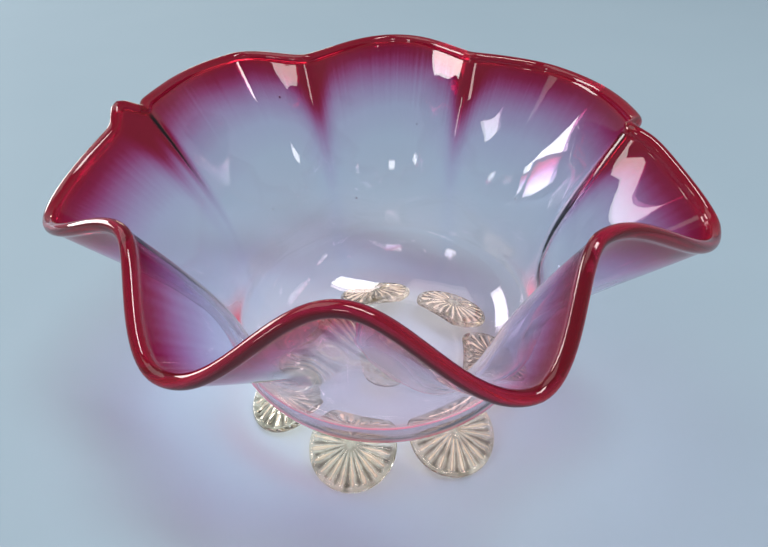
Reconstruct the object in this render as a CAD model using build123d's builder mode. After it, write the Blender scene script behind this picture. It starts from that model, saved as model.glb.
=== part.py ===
"""Hand-blown glass bowl with a crimped, frilled rim, standing on seven applied shell feet.

Frame: origin on the table under the middle of the bowl, +Z up, front towards -Y. Millimetres.
Angles go round the bowl from the front (0) towards +X (90), in degrees.
"""

import math
import os

from build123d import *

# ---- Driving dimensions ----------------------------------------------------------------------------

# The crimped rim: lobes turned out and down, and crests pinched in and up between them, in turn.
# Each row is one turning point of the rim's middle line: angle, radius, height.
FRILL = (
    (-79, 111, 113),  # lobe, left
    (-50, 91, 129),
    (-31, 109, 109),  # lobe, front left
    (-6, 100, 134),
    (18, 110, 108),  # lobe, front right
    (35, 94, 132),
    (70, 113, 105),  # lobe, right
    (87, 93, 122),
    (128, 100, 119),  # lobe, back right
    (148, 86, 123),
    (174, 108, 121),  # lobe, back
    (200, 87, 123),
    (216, 108, 123),  # lobe, back left
    (253, 93, 127),
)
# Tight folds left by the tool: angle, change in the rim's radius and height, width in degrees.
FOLDS = (
    (253, -2.0, -1.0, 2.0),
    (257, 2.5, 4.0, 2.6),
    (88, -5.0, 1.0, 3.0),
    (148, -2.5, 0.6, 4.0),
    (200, -2.5, 0.6, 4.0),
)
MEAN_RIM_RADIUS = 100
MEAN_RIM_HEIGHT = 120
BEAD_RADIUS = 2.1  # fire-polished edge
BEAD_TURNS = (-45, 0, 45, 90, 135, 180, 225)  # round the edge from its outer side to its inner

# The wall's middle surface: a round bulb up to the waist, then a flare up to the rim.
BASE_RADIUS = 30  # flat part of the bottom
BASE_HEIGHT = 14.5
HEEL_RADIUS = 47
BULGE_HEIGHT = 32
WAIST_RADIUS = 63.5
WAIST_HEIGHT = 46
NECK_HEIGHT = 72
SHOULDER_RADIUS = 70
SHOULDER_HEIGHT = 80
FRILL_AT_SHOULDER = 0.5  # share of the rim's crimping that the shoulder follows

WALL_AT_BASE = 4.2
WALL_AT_RIM = 2.8

# Shell feet: round ribbed pads, splayed outwards.
FOOT_COUNT = 7
FIRST_FOOT_ANGLE = -20
FOOT_RADIUS = 18.4
FOOT_EDGE = 2.6  # thickness at the pad's edge
FOOT_CROWN = 2.4  # how far the ribbed face rises above its edge
EDGE_ROUNDING = 0.8
FOOT_TILT = 25  # slope of the pad from the horizontal
FOOT_CENTRE = 47  # distance of the pad's centre from the bowl's axis
FOOT_REST = 0.5  # depth of the small flat that the pad rests on
RIB_COUNT = 20
RIB_WIDTH = 4.0  # of a groove between two ribs, at its outer end
RIB_DEPTH = 1.4
RIB_HUB = 2.6  # plain middle where the ribs meet
RIB_TIP = 0.33  # radius of a groove's inner end
RIB_BAND = 1.9  # plain band round the pad, outside the ribs

WAFER_RADIUS = 11
WAFER_THICKNESS = 2.4

RING_POINTS = 84  # even points round each ring of the bowl
FOLD_POINTS = 5  # closer points on each side of a tight fold


# ---- The bowl's shape ------------------------------------------------------------------------------

def ease(share):
    """Smooth step from 0 to 1."""
    return 0.5 - 0.5 * math.cos(math.pi * share)


def gap(angle, other):
    """Signed angle between two directions, from -180 to 180."""
    return (angle - other + 180) % 360 - 180


def rim_at(angle):
    """Radius and height of the rim's middle line at an angle."""
    turn = (angle - FRILL[0][0]) % 360 + FRILL[0][0]
    closed = FRILL + ((FRILL[0][0] + 360,) + FRILL[0][1:],)
    for (start, r0, z0), (end, r1, z1) in zip(closed, closed[1:]):
        if turn <= end:
            share = ease((turn - start) / (end - start))
            return r0 + (r1 - r0) * share, z0 + (z1 - z0) * share
    return closed[-1][1:]


def fold_at(angle):
    """How far the tight folds move the rim out and up at an angle."""
    felt = [(math.exp(-((gap(angle, at) / width) ** 2)), out, up) for at, out, up, width in FOLDS]
    return sum(share * out for share, out, _ in felt), sum(share * up for share, _, up in felt)


def bezier(points, t):
    """Point of a cubic curve given by its four control points."""
    weights = ((1 - t) ** 3, 3 * t * (1 - t) ** 2, 3 * t * t * (1 - t), t**3)
    return tuple(sum(w * p[i] for w, p in zip(weights, points)) for i in (0, 1))


def wall_at(height_share, angle):
    """Radius and height on the wall's middle surface: 0 at the base, 0.5 at the waist, 1 at the rim."""
    waist = (WAIST_RADIUS, WAIST_HEIGHT)
    if height_share < 0.5:
        bulb = ((BASE_RADIUS, BASE_HEIGHT), (HEEL_RADIUS, BASE_HEIGHT), (WAIST_RADIUS, BULGE_HEIGHT), waist)
        return bezier(bulb, 2 * height_share)
    rim_radius, rim_height = rim_at(angle)
    shoulder = (
        SHOULDER_RADIUS + FRILL_AT_SHOULDER * (rim_radius - MEAN_RIM_RADIUS),
        SHOULDER_HEIGHT + FRILL_AT_SHOULDER * (rim_height - MEAN_RIM_HEIGHT),
    )
    out, up = fold_at(angle)
    flare = (waist, (WAIST_RADIUS, NECK_HEIGHT), shoulder, (rim_radius + out, rim_height + up))
    return bezier(flare, 2 * height_share - 1)


def point_at(height_share, angle):
    """Point on the wall's middle surface."""
    r, z = wall_at(height_share, angle)
    turn = math.radians(angle)
    return Vector(r * math.sin(turn), -r * math.cos(turn), z)


def half_wall(height_share):
    """Half the wall's thickness, which thins evenly from the base to the rim."""
    return (WALL_AT_BASE + (WALL_AT_RIM - WALL_AT_BASE) * height_share) / 2


def ring_angles():
    """Angles of the points on every ring, closer together at the tight folds."""
    angles = [360 * k / RING_POINTS for k in range(RING_POINTS)]
    reach = (FOLD_POINTS + 1) / 2
    for at, _, _, width in FOLDS:
        angles = [angle for angle in angles if abs(gap(angle, at)) > reach * width]
        angles += [(at + k * width / 2) % 360 for k in range(-FOLD_POINTS, FOLD_POINTS + 1)]
    return sorted(angles)


RING_ANGLES = ring_angles()
SLOPE_STEP = 0.001  # share of the wall's height over which its slope is taken
SLOPE_TURN = 0.05  # degrees


def ring(height_share, side, offset=None, lift=0.0):
    """Closed curve round the bowl on one face of the wall: side 1 is outside, -1 inside.

    The curve stands off the middle surface along the surface's normal, and is lifted along the wall.
    """
    offset = side * half_wall(height_share) if offset is None else offset
    low = max(height_share - SLOPE_STEP, 0)
    points = []
    for angle in RING_ANGLES:
        up_wall = point_at(low + SLOPE_STEP, angle) - point_at(low, angle)
        round_wall = point_at(height_share, angle + SLOPE_TURN) - point_at(height_share, angle - SLOPE_TURN)
        normal = round_wall.cross(up_wall).normalized()
        upwards = normal.cross(round_wall).normalized()
        points.append(point_at(height_share, angle) + normal * offset + upwards * lift)
    closing = RING_ANGLES[0] + 360
    return Wire([Edge.make_spline(points, periodic=True, parameters=[*RING_ANGLES, closing])])


def bead_ring(turn):
    """Closed curve along the rim's rounded edge, at an angle round the bead from its outer side."""
    around = math.radians(turn)
    return ring(1, 0, BEAD_RADIUS * math.cos(around), BEAD_RADIUS * math.sin(around))


bulb_steps = (0, 0.1, 0.2, 0.3, 0.4, 0.5)
flare_steps = (0.58, 0.66, 0.74, 0.82, 0.9, 0.955, 0.985)

outer_bulb = [ring(s, 1) for s in bulb_steps]
inner_bulb = [ring(s, -1) for s in bulb_steps]
outer_flare = outer_bulb[-1:] + [ring(s, 1) for s in flare_steps]
inner_flare = inner_bulb[-1:] + [ring(s, -1) for s in flare_steps]
bead = outer_flare[-1:] + [bead_ring(turn) for turn in BEAD_TURNS] + inner_flare[-1:]

outer_bulb_skin = Shell.make_loft(outer_bulb)
skins = [outer_bulb_skin] + [Shell.make_loft(rings) for rings in (outer_flare, bead, inner_flare, inner_bulb)]
base_face = Face(outer_bulb[0])
floor_face = Face(inner_bulb[0])
glass = Solid(Shell([face for skin in skins for face in skin.faces()] + [base_face, floor_face]))

with BuildPart() as bowl_body:
    add(glass)
bowl_body.part.label = "bowl_body"

# The bulb as if it were full, up to the waist: what the feet are pressed against.
full_bulb = Solid(Shell(outer_bulb_skin.faces() + [base_face, Face(outer_bulb[-1])]))


# ---- Applied feet and wafer ------------------------------------------------------------------------

rib_reach = FOOT_RADIUS - RIB_BAND - RIB_HUB
face_slope = math.degrees(math.atan2(FOOT_CROWN, FOOT_RADIUS))
rib_lift = math.degrees(math.atan2(RIB_WIDTH / 2 - RIB_DEPTH, rib_reach))

# One pad on its own: flat back at Z = 0, ribbed and slightly domed face above it.
with BuildPart() as pad:
    with BuildSketch(Plane.XZ):
        with BuildLine():
            Polyline((0, FOOT_EDGE + FOOT_CROWN), (0, 0), (FOOT_RADIUS, 0), (FOOT_RADIUS, FOOT_EDGE))
            Line((FOOT_RADIUS, FOOT_EDGE), (0, FOOT_EDGE + FOOT_CROWN))
        make_face()
    revolve(axis=Axis.Z)
    fillet(pad.edges().filter_by(GeomType.CIRCLE), EDGE_ROUNDING)
    hub_height = FOOT_EDGE + FOOT_CROWN * (1 - RIB_HUB / FOOT_RADIUS)
    with Locations((0, 0, hub_height)):
        with PolarLocations(RIB_HUB, RIB_COUNT):
            Cone(
                bottom_radius=RIB_TIP,
                top_radius=RIB_WIDTH / 2,
                height=rib_reach,
                rotation=(0, 90 + face_slope - rib_lift, 0),
                align=(Align.CENTER, Align.CENTER, Align.MIN),
                mode=Mode.SUBTRACT,
            )


def foot_plane(number):
    """Plane of one pad in the bowl: origin at the middle of its back, Z out of its ribbed face."""
    turn = math.radians(FIRST_FOOT_ANGLE + 360 * number / FOOT_COUNT)
    tilt = math.radians(FOOT_TILT)
    outwards = Vector(math.sin(turn), -math.cos(turn), 0)
    sideways = Vector(math.cos(turn), math.sin(turn), 0)
    lift = FOOT_RADIUS * math.sin(tilt) - FOOT_REST
    return Plane(
        origin=outwards * FOOT_CENTRE + Vector(0, 0, lift),
        x_dir=sideways,
        z_dir=outwards * math.sin(tilt) + Vector(0, 0, math.cos(tilt)),
    )


def shell_foot(number):
    """One applied foot: the pad laid at its slope, pressed on the bulb and ground flat on the table."""
    laid_pad = foot_plane(number).location * pad.part
    with BuildPart() as foot:
        add(laid_pad)
        add(full_bulb, mode=Mode.SUBTRACT)
        split(bisect_by=Plane.XY, keep=Keep.TOP)
    return foot.part


feet = []
for number in range(FOOT_COUNT):
    foot = shell_foot(number)
    foot.label = f"shell_foot_{number + 1}"
    feet.append(foot)

with BuildPart() as pontil_wafer:
    with Locations((0, 0, BASE_HEIGHT - WALL_AT_BASE / 2)):
        Cylinder(WAFER_RADIUS, WAFER_THICKNESS, align=(Align.CENTER, Align.CENTER, Align.MAX))
    fillet(pontil_wafer.edges().sort_by(Axis.Z)[0], WAFER_THICKNESS / 3)
pontil_wafer.part.label = "pontil_wafer"


# ---- Files -----------------------------------------------------------------------------------------

os.makedirs("parts", exist_ok=True)
export_step(bowl_body.part, "parts/bowl_body.step")
for foot in feet:
    export_step(foot, f"parts/{foot.label}.step")
export_step(pontil_wafer.part, "parts/pontil_wafer.step")
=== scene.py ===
"""Looks of a hand-blown frilled bowl: clear lilac glass with a cranberry edge, on seven clear shell feet.

Frame: metres, origin on the table under the bowl, +Z up, front towards -Y.
Angles go round the bowl from the front (0) towards +X (90), in degrees.
"""

import math

import bpy
import numpy as np
from mathutils import Matrix, Vector


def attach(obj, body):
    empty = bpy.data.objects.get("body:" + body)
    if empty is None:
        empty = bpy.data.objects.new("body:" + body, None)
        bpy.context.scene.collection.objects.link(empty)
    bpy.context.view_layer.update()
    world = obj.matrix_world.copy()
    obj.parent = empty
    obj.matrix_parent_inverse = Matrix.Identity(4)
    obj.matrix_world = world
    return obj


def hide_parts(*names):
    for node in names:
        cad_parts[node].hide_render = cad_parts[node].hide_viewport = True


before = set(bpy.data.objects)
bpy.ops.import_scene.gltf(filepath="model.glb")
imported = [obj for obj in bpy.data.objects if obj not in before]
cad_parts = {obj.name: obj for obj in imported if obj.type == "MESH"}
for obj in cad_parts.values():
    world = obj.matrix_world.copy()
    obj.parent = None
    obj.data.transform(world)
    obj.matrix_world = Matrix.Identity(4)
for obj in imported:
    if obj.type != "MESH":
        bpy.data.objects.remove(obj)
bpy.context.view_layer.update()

# ---- Driving dimensions, the same as the CAD's, in metres ------------------------------------------

MM = 0.001

# Each row is one turning point of the rim's middle line: angle, radius, height.
FRILL = (
    (-79, 0.111, 0.113),  # lobe, left
    (-50, 0.091, 0.129),
    (-31, 0.109, 0.109),  # lobe, front left
    (-6, 0.100, 0.134),
    (18, 0.110, 0.108),  # lobe, front right
    (35, 0.094, 0.132),
    (70, 0.113, 0.105),  # lobe, right
    (87, 0.093, 0.122),
    (128, 0.100, 0.119),  # lobe, back right
    (148, 0.086, 0.123),
    (174, 0.108, 0.121),  # lobe, back
    (200, 0.087, 0.123),
    (216, 0.108, 0.123),  # lobe, back left
    (253, 0.093, 0.127),
)
# Tight folds left by the tool: angle, change in the rim's radius and height, width in degrees.
FOLDS = (
    (253, -0.0020, -0.0010, 2.0),
    (257, 0.0025, 0.0040, 2.6),
    (88, -0.0050, 0.0010, 3.0),
    (148, -0.0025, 0.0006, 4.0),
    (200, -0.0025, 0.0006, 4.0),
)
MEAN_RIM = (0.100, 0.120)  # radius, height
BEAD_RADIUS = 0.0021
BEAD_SHARPNESS = 6  # how tightly the bead blends into the wall

# Radius and height of the wall's middle line, from the base up.
BASE_RADIUS = 0.030
BASE_HEIGHT = 0.0145
HEEL_RADIUS = 0.047
BULGE_HEIGHT = 0.032
WAIST_RADIUS = 0.0635
WAIST_HEIGHT = 0.046
NECK_HEIGHT = 0.072
SHOULDER = (0.070, 0.080)
FRILL_AT_SHOULDER = 0.5
WALL_AT_BASE = 0.0042
WALL_AT_RIM = 0.0028
BASE_KICK = 0.0007  # how far the inside of the base rises in its middle

FOOT_COUNT = 7
FIRST_FOOT_ANGLE = -20
FOOT_RADIUS = 0.0184
FOOT_EDGE = 0.0026
FOOT_CROWN = 0.0024
EDGE_ROUNDING = 0.0008
FOOT_TILT = 25
FOOT_CENTRE = 0.047
FOOT_REST = 0.0005
RIB_COUNT = 20
RIB_DEPTH = 0.0014
RIB_HUB = 0.0026
RIB_BAND = 0.0019
RIB_END, RIB_RUN_OUT = 0.93, 0.12  # share of a groove's reach where it starts to close, and how fast
GROOVE_EXTRA = 1.15  # the grooves shown are a little deeper than the CAD's
RIB_UNEVENNESS = 0.25  # how much the hand-pressed grooves differ in depth

WAFER_RADIUS = 0.011
WAFER_THICKNESS = 0.0024
WAFER_HOLLOW = 0.0009

# ---- How finely the meshes are divided -------------------------------------------------------------

COLUMNS = 450  # round the bowl
WALL_ROWS, WALL_TOP = 72, 0.955  # rows up the wall, and the share of its height where they end
BEAD_ROWS, BEAD_START = 18, 0.96  # closer rows under the rim
EDGE_STEP = 15  # degrees round a rounded edge
CUTTER_COLUMNS, CUTTER_ROWS = 180, 32
COLUMNS_PER_RIB = 12
BACK_ROWS, FACE_ROWS = 9, 46  # over the back and the face of a foot
WAFER_COLUMNS = 96
BUBBLE_ROWS, BUBBLE_COLUMNS = 7, 12
SHARP_EDGE = 38  # degrees

# Bubbles caught in the wall: share of its height, angle, radius.
SEEDS = (
    (0.93, 209, 0.00055),
    (0.84, 165, 0.00030),
    (0.72, 118, 0.00035),
    (0.66, 228, 0.00030),
    (0.80, 96, 0.00025),
    (0.60, 190, 0.00040),
    (0.88, 12, 0.00030),
    (0.70, 318, 0.00035),
    (0.35, 340, 0.00040),
    (0.30, 64, 0.00030),
)
SEAM_GAP = 0.00004  # between a foot or the wafer and the bulb it is pressed on


# ---- The bowl's shape ------------------------------------------------------------------------------

def ease(share):
    """Smooth step from 0 to 1."""
    return 0.5 - 0.5 * np.cos(np.pi * np.clip(share, 0, 1))


def rim_at(angles):
    """Radius and height of the rim's middle line at each angle."""
    first = FRILL[0][0]
    turns = np.array([row[0] for row in FRILL] + [first + 360])
    sizes = np.array([row[1:] for row in FRILL] + [FRILL[0][1:]])
    turn = (angles - first) % 360 + first
    start = np.clip(np.searchsorted(turns, turn, side="right") - 1, 0, len(FRILL) - 1)
    share = ease((turn - turns[start]) / (turns[start + 1] - turns[start]))[..., None]
    return sizes[start] * (1 - share) + sizes[start + 1] * share


def near(angles, at, width):
    """How much of a fold is felt at each angle: 1 in its middle."""
    return np.exp(-((((angles - at + 180) % 360 - 180) / width) ** 2))


def fold_at(angles):
    """How the tight folds move the rim's radius and height at each angle."""
    return sum(near(angles, at, width)[..., None] * np.array((out, up)) for at, out, up, width in FOLDS)


def bezier(points, t):
    """Points of a cubic curve given by its four control points."""
    weights = ((1 - t) ** 3, 3 * t * (1 - t) ** 2, 3 * t * t * (1 - t), t**3)
    return sum(w[..., None] * np.asarray(p) for w, p in zip(weights, points))


def point_at(share, angle):
    """Points on the wall's middle surface: share 0 at the base, 0.5 at the waist, 1 at the rim."""
    share, angle = np.broadcast_arrays(np.asarray(share, float), np.asarray(angle, float))
    rim = rim_at(angle)
    shoulder = np.array(SHOULDER) + FRILL_AT_SHOULDER * (rim - np.array(MEAN_RIM))
    base, heel = (BASE_RADIUS, BASE_HEIGHT), (HEEL_RADIUS, BASE_HEIGHT)
    bulge, waist = (WAIST_RADIUS, BULGE_HEIGHT), (WAIST_RADIUS, WAIST_HEIGHT)
    neck = (WAIST_RADIUS, NECK_HEIGHT)
    bulb = bezier((base, heel, bulge, waist), 2 * share)
    flare = bezier((waist, neck, shoulder, rim + fold_at(angle)), 2 * share - 1)
    size = np.where((share < 0.5)[..., None], bulb, flare)
    turn = np.radians(angle)
    return np.stack((size[..., 0] * np.sin(turn), -size[..., 0] * np.cos(turn), size[..., 1]), -1)


def unit(vectors):
    """Vectors of the same directions, each of length 1."""
    return vectors / np.linalg.norm(vectors, axis=-1, keepdims=True)


def wall_points(share, angle, offset, lift=0.0):
    """Points that stand off the wall's middle surface along its normal, and lifted along the wall."""
    step, turn_step = 0.001, 0.05
    low = np.maximum(share - step, 0)
    up_wall = point_at(low + step, angle) - point_at(low, angle)
    round_wall = point_at(share, angle + turn_step) - point_at(share, angle - turn_step)
    normal = unit(np.cross(round_wall, up_wall))
    upwards = unit(np.cross(normal, round_wall))
    return point_at(share, angle) + normal * offset + upwards * lift


def half_wall(share):
    """Half the wall's thickness, which thins evenly from the base to the rim."""
    return (WALL_AT_BASE + (WALL_AT_RIM - WALL_AT_BASE) * share) / 2


def edge_swell(share, to_rim):
    """Half the wall's thickness with the swelling under the rounded rim, at a distance below it."""
    bead = np.sqrt(np.maximum(BEAD_RADIUS**2 - to_rim**2, 0))
    return (half_wall(share) ** BEAD_SHARPNESS + bead**BEAD_SHARPNESS) ** (1 / BEAD_SHARPNESS)


def mesh_object(name, points, faces, smooth=True):
    """New object in the scene from points and faces."""
    mesh = bpy.data.meshes.new(name)
    mesh.from_pydata([tuple(p) for p in points], [], faces)
    mesh.validate()
    mesh.polygons.foreach_set("use_smooth", [smooth] * len(mesh.polygons))
    mesh.update()
    made = bpy.data.objects.new(name, mesh)
    bpy.context.scene.collection.objects.link(made)
    return made


def tube_faces(rings, columns):
    """Faces of a stack of rings, closed at each end by a fan round a last point."""
    faces = []
    for row in range(rings - 1):
        for column in range(columns):
            beside = (column + 1) % columns
            a, b = row * columns + column, row * columns + beside
            faces.append((a, b, b + columns, a + columns))
    first, last = rings * columns, rings * columns + 1
    for column in range(columns):
        beside = (column + 1) % columns
        faces.append((beside, column, first))
        faces.append(((rings - 1) * columns + column, (rings - 1) * columns + beside, last))
    return faces


def closed_points(rings, ends):
    """The points of a stack of rings and of its two ends, in the order that tube_faces counts them."""
    return np.concatenate((rings.reshape(-1, 3), ends))


def bubble(centre, radius):
    """Points and inward-facing faces of a small round bubble in the glass."""
    rise = np.radians(np.linspace(-77, 77, BUBBLE_ROWS))[:, None]
    turn = np.arange(BUBBLE_COLUMNS) * 2 * np.pi / BUBBLE_COLUMNS
    sides = (np.cos(rise) * np.cos(turn), np.cos(rise) * np.sin(turn), np.sin(rise))
    ball = np.stack(np.broadcast_arrays(*sides), -1)
    points = closed_points(ball, ((0, 0, -1), (0, 0, 1))) * radius + centre
    return points, [tuple(reversed(face)) for face in tube_faces(BUBBLE_ROWS, BUBBLE_COLUMNS)]


def set_attribute(made, name, values):
    """Stores one number for each vertex, for the material to read."""
    attribute = made.data.attributes.new(name, "FLOAT", "POINT")
    attribute.data.foreach_set("value", np.asarray(values, np.float32))


def make_bowl():
    """The blown bowl: outer skin, rounded rim and inner skin as one closed mesh, with its bubbles."""
    flat, upright = np.array((1, 1, 0)), np.array((0, 0, 1))
    angle = np.arange(COLUMNS) * 360 / COLUMNS
    shares = np.concatenate((np.linspace(0, WALL_TOP, WALL_ROWS), np.linspace(BEAD_START, 1, BEAD_ROWS)))
    middle = point_at(shares[:, None], angle[None, :])
    steps = np.linalg.norm(np.diff(middle, axis=0), axis=-1)
    to_rim = np.vstack((np.cumsum(steps[::-1], axis=0)[::-1], np.zeros(COLUMNS)))
    half = edge_swell(shares[:, None], to_rim)[..., None]

    outer = wall_points(shares[:, None], angle[None, :], half)
    inner = wall_points(shares[:, None], angle[None, :], -half)
    turns = np.radians(np.arange(EDGE_STEP, 180, EDGE_STEP))[:, None, None]
    rim_half = half[-1][None]
    at_rim = np.ones((len(turns), 1))
    edge = wall_points(at_rim, angle[None, :], rim_half * np.cos(turns), rim_half * np.sin(turns))

    spread = np.array((0.2, 0.45, 0.7, 0.9))[:, None, None]
    inwards = spread[::-1]
    under = outer[:1] * flat * spread + outer[:1] * upright
    kick = BASE_KICK * (1 - inwards**2) ** 2
    floor = inner[:1] * flat * inwards + inner[:1] * upright
    floor = floor + kick * upright

    rings = np.concatenate((under, outer, edge, inner[::-1], floor))
    points = closed_points(rings, np.array(((0, 0, outer[0, 0, 2]), (0, 0, inner[0, 0, 2] + BASE_KICK))))
    faces = tube_faces(len(rings), COLUMNS)
    seed_distance = []
    for share, at, radius in SEEDS:
        seed_points, seed_faces = bubble(point_at(share, float(at)), radius)
        faces += [tuple(len(points) + corner for corner in face) for face in seed_faces]
        points = np.concatenate((points, seed_points))
        seed_distance += [to_rim[np.searchsorted(shares, share), 0]] * len(seed_points)
    made = mesh_object("bowl_glass", points, faces)

    base = np.tile(to_rim[:1], (len(spread), 1))
    on_edge = np.zeros((len(turns), COLUMNS))
    distance = np.concatenate((base, to_rim, on_edge, to_rim[::-1], base))
    set_attribute(made, "rim_distance", np.concatenate((distance.ravel(), to_rim[0, :2], seed_distance)))

    crest = np.max([near(angle, at, width) for at, _, _, width in FOLDS], axis=0)
    beyond = np.zeros(2 + len(seed_distance))
    set_attribute(made, "crest", np.append(np.tile(crest, len(rings)), beyond))
    return made


# ---- Applied feet and wafer ------------------------------------------------------------------------

def full_bulb():
    """The bulb as a solid lump, a hair larger than it is: what is cut out of the feet."""
    angle = np.arange(CUTTER_COLUMNS) * 360 / CUTTER_COLUMNS
    shares = np.linspace(0, 0.5, CUTTER_ROWS)
    rings = wall_points(shares[:, None], angle[None, :], half_wall(shares)[:, None, None] + SEAM_GAP)
    ends = np.array(((0, 0, rings[0, 0, 2]), (0, 0, rings[-1, 0, 2])))
    return mesh_object("bulb_cutter", closed_points(rings, ends), tube_faces(len(rings), CUTTER_COLUMNS))


def groove_reach(radius):
    """How far out along its grooves a point of a foot's face is: 0 where they start, 1 where they end."""
    return (radius - RIB_HUB) / (FOOT_RADIUS - RIB_BAND - RIB_HUB)


def groove_close(reach):
    """1 along a groove, easing to 0 where it runs out at the foot's plain band."""
    return 1 - ease((reach - RIB_END) / RIB_RUN_OUT)


def pad_points(columns, number):
    """Rings of points over one pressed pad, from the middle of its back round to the middle of its face."""
    turn = np.arange(columns) * 2 * np.pi / columns
    flat_radius = FOOT_RADIUS - EDGE_ROUNDING
    back = np.linspace(0.12, 1, BACK_ROWS)[:, None] * flat_radius

    round_edge = np.radians(np.arange(-75, 90, EDGE_STEP))[:, None]
    belly = FOOT_EDGE / 2
    edge_radius = flat_radius + EDGE_ROUNDING * np.cos(round_edge)
    edge_height = belly + (belly - 0.05 * MM) * np.sin(round_edge)

    face = np.linspace(1, 0.03, FACE_ROWS)[:, None] * flat_radius
    crown = FOOT_EDGE + FOOT_CROWN * (1 - (face / FOOT_RADIUS) ** 1.7)
    phase = (turn * RIB_COUNT / (2 * np.pi)) % 1
    scallop = 1 - (2 * phase - 1) ** 2
    scallop = scallop * (1 + RIB_UNEVENNESS * np.sin(2 * turn + number) * np.sin(5 * turn + 2.3 * number))
    reach = groove_reach(face)
    grow = np.clip(reach, 0, 1) ** 0.8 * groove_close(reach)
    grooved = crown - GROOVE_EXTRA * RIB_DEPTH * grow * scallop[None, :]

    radius = np.concatenate([np.tile(r, (1, columns)) for r in (back, edge_radius, face)])
    height = np.concatenate((np.zeros((BACK_ROWS, columns)), np.tile(edge_height, (1, columns)), grooved))
    grid = np.stack((radius * np.cos(turn), radius * np.sin(turn), height), -1)
    return grid, np.array(((0, 0, 0), (0, 0, FOOT_EDGE + FOOT_CROWN)))


def ridge_at(x, y, height):
    """1 on the crests of a pad's ribs, 0 in the grooves between them, 0.5 where the pad is plain."""
    phase = (np.arctan2(y, x) * RIB_COUNT / (2 * np.pi)) % 1
    reach = groove_reach(np.hypot(x, y))
    ribbed = np.clip(reach * 4, 0, 1) * groove_close(reach) * (height > FOOT_EDGE / 2)
    return 0.5 + (np.abs(2 * phase - 1) - 0.5) * ribbed


def make_foot(number, cutter):
    """One applied foot: the pad laid at its slope, pressed on the bulb, flat where it rests."""
    turn = math.radians(FIRST_FOOT_ANGLE + 360 * number / FOOT_COUNT)
    tilt = math.radians(FOOT_TILT)
    outwards = np.array((math.sin(turn), -math.cos(turn), 0))
    sideways = np.array((math.cos(turn), math.sin(turn), 0))
    face = outwards * math.sin(tilt) + np.array((0, 0, math.cos(tilt)))
    inwards = np.cross(face, sideways)
    middle = outwards * FOOT_CENTRE + np.array((0, 0, FOOT_RADIUS * math.sin(tilt) - FOOT_REST))

    columns = RIB_COUNT * COLUMNS_PER_RIB
    grid, ends = pad_points(columns, number)
    placed = middle + closed_points(grid, ends) @ np.array((sideways, inwards, face))
    placed[:, 2] = np.maximum(placed[:, 2], 0)
    made = mesh_object(f"foot_{number + 1}_glass", placed, tube_faces(len(grid), columns))

    cut = made.modifiers.new("pressed on the bulb", "BOOLEAN")
    cut.operation, cut.solver, cut.object = "DIFFERENCE", "EXACT", cutter
    bpy.context.view_layer.update()
    evaluated = made.evaluated_get(bpy.context.evaluated_depsgraph_get())
    shaped = bpy.data.meshes.new_from_object(evaluated)
    made.modifiers.clear()
    made.data = shaped
    made.data.set_sharp_from_angle(angle=math.radians(SHARP_EDGE))
    where = np.array([v.co for v in made.data.vertices]) - middle
    set_attribute(made, "ridge", ridge_at(where @ sideways, where @ inwards, where @ face))
    return made


def make_wafer():
    """The wafer under the base: a low disc whose underside is rough where the rod broke away."""
    turn = np.arange(WAFER_COLUMNS) * 2 * np.pi / WAFER_COLUMNS
    level = 0 * turn
    top = BASE_HEIGHT - WALL_AT_BASE / 2 - SEAM_GAP
    low = top - WAFER_THICKNESS + SEAM_GAP
    rounding = WAFER_THICKNESS / 3
    scar = 0.3 * MM * np.sin(turn * 5) + 0.2 * MM * np.sin(turn * 11 + 1)
    rings = [(r, top + level) for r in np.linspace(0.1, 1, 8) * WAFER_RADIUS]
    for bend in np.radians(np.arange(0, 91, EDGE_STEP)):
        radius = WAFER_RADIUS - rounding * (1 - math.cos(bend))
        rings.append((radius, low + rounding * (1 - math.sin(bend)) + level))
    for share in (0.85, 0.7, 0.55, 0.45, 0.35, 0.2, 0.1):
        hollow = WAFER_HOLLOW * (1 - share) ** 0.5
        roughness = scar if share < 0.6 else 0
        rings.append((WAFER_RADIUS * share + roughness, low + hollow + level))
    grid = np.stack([np.stack((r * np.cos(turn), r * np.sin(turn), z), -1) for r, z in rings])
    ends = np.array(((0, 0, top), (0, 0, low + WAFER_HOLLOW)))
    faces = [tuple(reversed(face)) for face in tube_faces(len(grid), WAFER_COLUMNS)]
    made = mesh_object("pontil_wafer_glass", closed_points(grid, ends), faces)
    set_attribute(made, "ridge", np.full(len(made.data.vertices), 0.5))
    return made


# ---- Materials -------------------------------------------------------------------------------------

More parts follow.
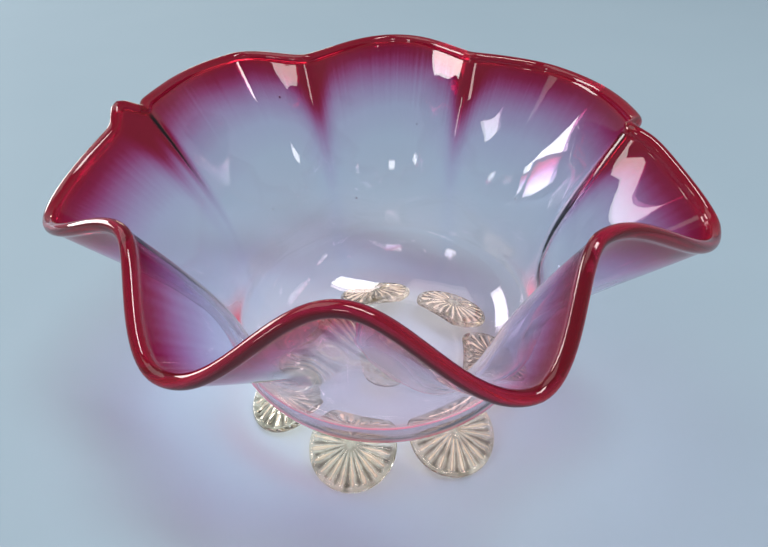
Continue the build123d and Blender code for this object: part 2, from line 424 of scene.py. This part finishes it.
class Nodes:
    """Short calls for building one material's node tree."""

    def __init__(self, name):
        self.material = bpy.data.materials.new(name)
        self.material.use_nodes = True
        self.tree = self.material.node_tree
        self.tree.nodes.clear()

    def feed(self, socket, value):
        """Links a socket to another node's output, or sets it to a value."""
        if isinstance(value, bpy.types.NodeSocket):
            self.tree.links.new(value, socket)
        else:
            socket.default_value = value

    def add(self, kind, **inputs):
        """A node of one kind with its inputs filled in by name, spaces written as underscores."""
        node = self.tree.nodes.new(kind)
        for key, value in inputs.items():
            self.feed(node.inputs[key.replace("_", " ")], value)
        return node

    def math(self, operation, a, b):
        node = self.tree.nodes.new("ShaderNodeMath")
        node.operation = operation
        self.feed(node.inputs[0], a)
        self.feed(node.inputs[1], b)
        return node.outputs[0]

    def product(self, a, b):
        return self.math("MULTIPLY", a, b)

    def spread(self, value, width):
        """A noise value of 0 to 1 turned into one that swings evenly about 0."""
        return self.product(self.math("SUBTRACT", value, 0.5), width)

    def attribute(self, name):
        node = self.tree.nodes.new("ShaderNodeAttribute")
        node.attribute_name = name
        return node.outputs["Fac"]

    def place(self):
        return self.tree.nodes.new("ShaderNodeTexCoord").outputs["Object"]

    def noise(self, scale, detail):
        return self.add("ShaderNodeTexNoise", Vector=self.place(), Scale=scale, Detail=detail).outputs["Fac"]

    def streaks(self, scale, detail):
        """Noise that only changes round the bowl, for marks that run down the wall."""
        split = self.add("ShaderNodeSeparateXYZ", Vector=self.place())
        turn = self.math("ARCTAN2", split.outputs[0], split.outputs[1])
        node = self.tree.nodes.new("ShaderNodeTexNoise")
        node.noise_dimensions = "1D"
        self.feed(node.inputs["W"], turn)
        self.feed(node.inputs["Scale"], scale)
        self.feed(node.inputs["Detail"], detail)
        return node.outputs["Fac"]

    def ramp(self, position, stops, interpolation="B_SPLINE"):
        """Colours at positions from 0 to 1."""
        node = self.add("ShaderNodeValToRGB", Fac=position)
        elements = node.color_ramp.elements
        node.color_ramp.interpolation = interpolation
        while len(elements) > 1:
            elements.remove(elements[-1])
        elements[0].position, elements[0].color = stops[0][0], (*stops[0][1], 1)
        for at, colour in stops[1:]:
            elements.new(at).color = (*colour, 1)
        return node.outputs["Color"]

    def fade(self, position, start, end):
        """A smooth change from one value to another, each given as (position, value)."""
        return self.ramp(position, [(at, (value,) * 3) for at, value in (start, end)], "EASE")

    def glass(self, colour, roughness, bump, clearness, depth=None):
        """Glass in a colour; lamps reach through it, so that it throws a light tinted shadow.

        Where clearness is below 1, the rest is plain matt colour. Depth is the colour and density of
        the glass's body.
        """
        shell = self.add("ShaderNodeBsdfPrincipled", Base_Color=colour, Roughness=roughness, Normal=bump,
                         Transmission_Weight=clearness, IOR=GLASS_IOR)
        clear = self.add("ShaderNodeBsdfTransparent", Color=colour)
        mix = self.add("ShaderNodeMixShader")
        lamp = self.tree.nodes.new("ShaderNodeLightPath").outputs["Is Shadow Ray"]
        for socket, source in zip(mix.inputs, (lamp, shell.outputs[0], clear.outputs[0])):
            self.feed(socket, source)
        out = self.add("ShaderNodeOutputMaterial", Surface=mix.outputs[0])
        if depth is not None:
            depth_colour, density = depth
            inside = self.add("ShaderNodeVolumeAbsorption", Color=(*depth_colour, 1), Density=density)
            self.feed(out.inputs["Volume"], inside.outputs[0])
        return self.material


GLASS_IOR = 1.5
BLUSH_LENGTH = 0.100  # how far down the wall the colour ramp runs
# What one wall lets through, at a distance below the rim in millimetres.
BLUSH = (
    (0, (0.42, 0.010, 0.035)),
    (2.5, (0.44, 0.012, 0.050)),
    (6, (0.47, 0.020, 0.09)),
    (10, (0.55, 0.08, 0.24)),
    (15, (0.62, 0.24, 0.48)),
    (22, (0.68, 0.48, 0.72)),
    (32, (0.76, 0.72, 0.90)),
    (48, (0.82, 0.85, 0.96)),
    (75, (0.88, 0.90, 0.96)),
    (100, (0.95, 0.93, 0.95)),
)
CLOUDING, BRUSHING = 0.008, 0.005  # how far patches and streaks shift the colour along the wall
FOLD_PULL = 0.016  # how far the red runs down a fold
BEAD_FADE, WALL_FADE = 0.006, 0.012  # distances below the rim over which the bead's looks give way
PAINTED_EDGE_GLOW = (1.00, 0.20, 0.30)  # painted light: red painted where the bulb is seen edge on, for the rim's red light carried down the wall
BODY_COLOUR, BODY_DENSITY = (0.86, 0.22, 0.36), 24.0  # the pink of the glass in its depth


def cranberry_glass():
    """Lilac glass that deepens to red at the rim, in soft streaks that follow the folds."""
    n = Nodes("cranberry_glass")
    distance = n.attribute("rim_distance")
    cloud = n.spread(n.noise(28, 3), CLOUDING)
    brushed = n.spread(n.streaks(60, 3), BRUSHING)
    pull = n.product(n.attribute("crest"), -FOLD_PULL)
    below = distance
    for shift in (cloud, brushed, pull):
        below = n.math("ADD", below, shift)
    fall = n.math("DIVIDE", below, BLUSH_LENGTH)
    colour = n.ramp(fall, [(at * MM / BLUSH_LENGTH, tint) for at, tint in BLUSH], "LINEAR")

    # Painted light, set by the viewing angle: where the bulb is seen edge on its colour turns red, standing
    # in for the rim's red light carried down the wall, and edge-on walls get a share of plain matt colour, a
    # painted lightening of the dark lines that refraction leaves there.
    grazing = n.add("ShaderNodeLayerWeight", Blend=0.5).outputs["Facing"]
    edge = n.fade(grazing, (0.62, 0.0), (0.86, 1.0))
    bulb = n.fade(n.math("DIVIDE", distance, BLUSH_LENGTH), (0.60, 0.0), (0.80, 1.0))
    painted_red_edge = n.add("ShaderNodeMixRGB", Fac=n.product(edge, bulb), Color1=colour, Color2=(*PAINTED_EDGE_GLOW, 1))
    wall = n.fade(n.math("DIVIDE", distance, WALL_FADE), (0.3, 0.0), (0.9, 1.0))
    painted_edge_lightening = n.product(edge, n.math("ADD", n.product(wall, 0.55), n.product(bulb, 0.4)))
    bead = n.fade(n.math("DIVIDE", distance, BEAD_FADE), (0.2, 0.72), (0.75, 1.0))
    clearness = n.product(bead, n.math("SUBTRACT", 1.0, painted_edge_lightening))

    smear = n.product(n.noise(60, 4), 0.03)
    waves = n.add("ShaderNodeBump", Height=n.noise(45, 1), Strength=0.35, Distance=0.0006)
    return n.glass(painted_red_edge.outputs[0], smear, waves.outputs[0], clearness, depth=(BODY_COLOUR, BODY_DENSITY))


# Painted light on the clear glass, from the bottom of a groove (0) to the crest of a rib (1): the dark
# grooves are painted shade and the cream crests a painted highlight, given as what the glass lets through
# and, where it is partly matt, as its matt colour.
PAINTED_GROOVE_SHADE_TO_CREST_HIGHLIGHT = (
    (0.00, (0.20, 0.18, 0.16)),
    (0.35, (0.60, 0.56, 0.46)),
    (0.50, (0.95, 0.91, 0.80)),
    (1.00, (1.00, 0.95, 0.74)),
)


def clear_glass():
    """Clear pressed glass, faintly warm, with a ripple left by the tool, painted shade in the grooves of its
    ribs and a cream painted highlight, partly matt, on their crests.
    """
    n = Nodes("clear_glass")
    ridge = n.math("ADD", n.attribute("ridge"), n.spread(n.noise(170, 2), 1.1))
    # Painted light: dark painted shade in the grooves, a cream painted highlight on the crests, which are
    # also made partly matt.
    tint = n.ramp(ridge, PAINTED_GROOVE_SHADE_TO_CREST_HIGHLIGHT, "EASE")
    clearness = n.fade(ridge, (0.55, 1.0), (0.95, 0.50))
    smear = n.product(n.noise(140, 3), 0.05)
    ripple = n.add("ShaderNodeBump", Height=n.noise(220, 2), Strength=0.3, Distance=0.0003)
    return n.glass(tint, smear, ripple.outputs[0], clearness)


# ---- The pieces ------------------------------------------------------------------------------------

def finish_piece(made, material, node):
    """Gives a piece its material, hangs it under the root body and hides the CAD node it stands for."""
    made.data.materials.clear()
    made.data.materials.append(material)
    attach(made, "root")
    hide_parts(node)


cranberry, clear = cranberry_glass(), clear_glass()
finish_piece(make_bowl(), cranberry, "bowl_body")

cutter = full_bulb()
for number in range(FOOT_COUNT):
    finish_piece(make_foot(number, cutter), clear, f"shell_foot_{number + 1}")
bpy.data.objects.remove(cutter)
finish_piece(make_wafer(), clear, "pontil_wafer")


# ---- Floor, light and camera -----------------------------------------------------------------------

FLOOR_DROP = 0.0001  # keeps the floor off the feet's flats
FLOOR_SIZE = 6.0
FLOOR_TONES = ((0.3, (0.34, 0.46, 0.55)), (0.7, (0.36, 0.48, 0.57)))

HORIZON, ZENITH = (0.36, 0.36, 0.39, 1), (0.10, 0.105, 0.12, 1)

AIM = (0, 0, 0.06)
WHITE, CREAM = (1.0, 0.99, 0.96), (1.0, 0.88, 0.66)
# Soft lights: name, angle round the bowl, height above the horizon, distance, (width, height), power, colour.
LIGHTS = (
    ("window_left", -122, 12, 2.2, (0.92, 0.66), 22.0, WHITE),
    ("window_front_left", -60, 17, 2.2, (0.26, 0.44), 2.8, WHITE),
    ("window_front", -10, 29, 2.2, (0.42, 0.32), 3.2, WHITE),
    ("window_back", 192, 6, 2.6, (0.70, 0.16), 3.0, CREAM),
    ("overhead", 60, 70, 2.2, (0.40, 1.20), 27.0, WHITE),
    ("ceiling", -120, 60, 2.6, (2.0, 2.0), 20.0, WHITE),
)

CAMERA_DISTANCE = 0.256
CAMERA_ELEVATION = 39.47
CAMERA_TURN = (0.36, -0.10, -3.16)  # small pitch, yaw and roll of the hand-held view, in degrees
FOCAL_LENGTH = 29.04
SENSOR_WIDTH = 36.0
NEAREST = 0.01  # the camera sees nothing closer than this

GLASS_BOUNCES = 24
CLEAR_PASSES = 32  # how many lamp-clear surfaces a ray may go through


def make_floor():
    """A plain pale table top."""
    half = FLOOR_SIZE / 2
    corners = [(x * half, y * half, -FLOOR_DROP) for x, y in ((-1, -1), (1, -1), (1, 1), (-1, 1))]
    floor = mesh_object("floor", corners, [(0, 1, 2, 3)], smooth=False)
    n = Nodes("floor")
    matt = n.add("ShaderNodeBsdfPrincipled", Base_Color=n.ramp(n.noise(6, 2), FLOOR_TONES), Roughness=0.8)
    n.add("ShaderNodeOutputMaterial", Surface=matt.outputs[0])
    floor.data.materials.append(n.material)


def make_light(name, angle, rise, distance, size, power, colour):
    """A rectangular soft light that faces the bowl."""
    turn, up = math.radians(angle), math.radians(rise)
    towards = Vector((math.sin(turn) * math.cos(up), -math.cos(turn) * math.cos(up), math.sin(up)))
    data = bpy.data.lights.new(name, "AREA")
    data.shape, data.size, data.size_y = "RECTANGLE", size[0], size[1]
    data.energy, data.color = power, colour
    light = bpy.data.objects.new(name, data)
    place = Vector(AIM) + distance * towards
    light.location = place
    light.rotation_euler = (Vector(AIM) - place).to_track_quat("-Z", "Y").to_euler()
    bpy.context.scene.collection.objects.link(light)


def make_world():
    """A dim room round the table, darker towards the ceiling."""
    world = bpy.data.worlds.new("studio")
    world.use_nodes = True
    tree = world.node_tree
    where = tree.nodes.new("ShaderNodeTexCoord")
    split = tree.nodes.new("ShaderNodeSeparateXYZ")
    ramp = tree.nodes.new("ShaderNodeValToRGB")
    tree.links.new(where.outputs["Generated"], split.inputs[0])
    tree.links.new(split.outputs["Z"], ramp.inputs[0])
    tree.links.new(ramp.outputs[0], tree.nodes["Background"].inputs["Color"])
    ramp.color_ramp.elements[0].color = HORIZON
    ramp.color_ramp.elements[1].color = ZENITH
    bpy.context.scene.world = world


def make_camera():
    """The camera, looking down at the bowl from the front."""
    data = bpy.data.cameras.new("camera")
    data.lens, data.sensor_width, data.sensor_fit = FOCAL_LENGTH, SENSOR_WIDTH, "HORIZONTAL"
    data.clip_start = NEAREST
    camera = bpy.data.objects.new("camera", data)
    rise = math.radians(CAMERA_ELEVATION)
    place = Vector(AIM) + CAMERA_DISTANCE * Vector((0, -math.cos(rise), math.sin(rise)))
    pitch, yaw, roll = (math.radians(a) for a in CAMERA_TURN)
    camera.matrix_world = (
        Matrix.Translation(place)
        @ Matrix.Rotation(math.pi / 2 - rise, 4, "X")
        @ Matrix.Rotation(yaw, 4, "Y")
        @ Matrix.Rotation(pitch, 4, "X")
        @ Matrix.Rotation(roll, 4, "Z")
    )
    bpy.context.scene.collection.objects.link(camera)
    bpy.context.scene.camera = camera


make_floor()
make_world()
for row in LIGHTS:
    make_light(*row)
make_camera()

scene = bpy.context.scene
scene.view_settings.view_transform = "Standard"
scene.cycles.max_bounces = GLASS_BOUNCES
scene.cycles.transmission_bounces = GLASS_BOUNCES
scene.cycles.transparent_max_bounces = CLEAR_PASSES
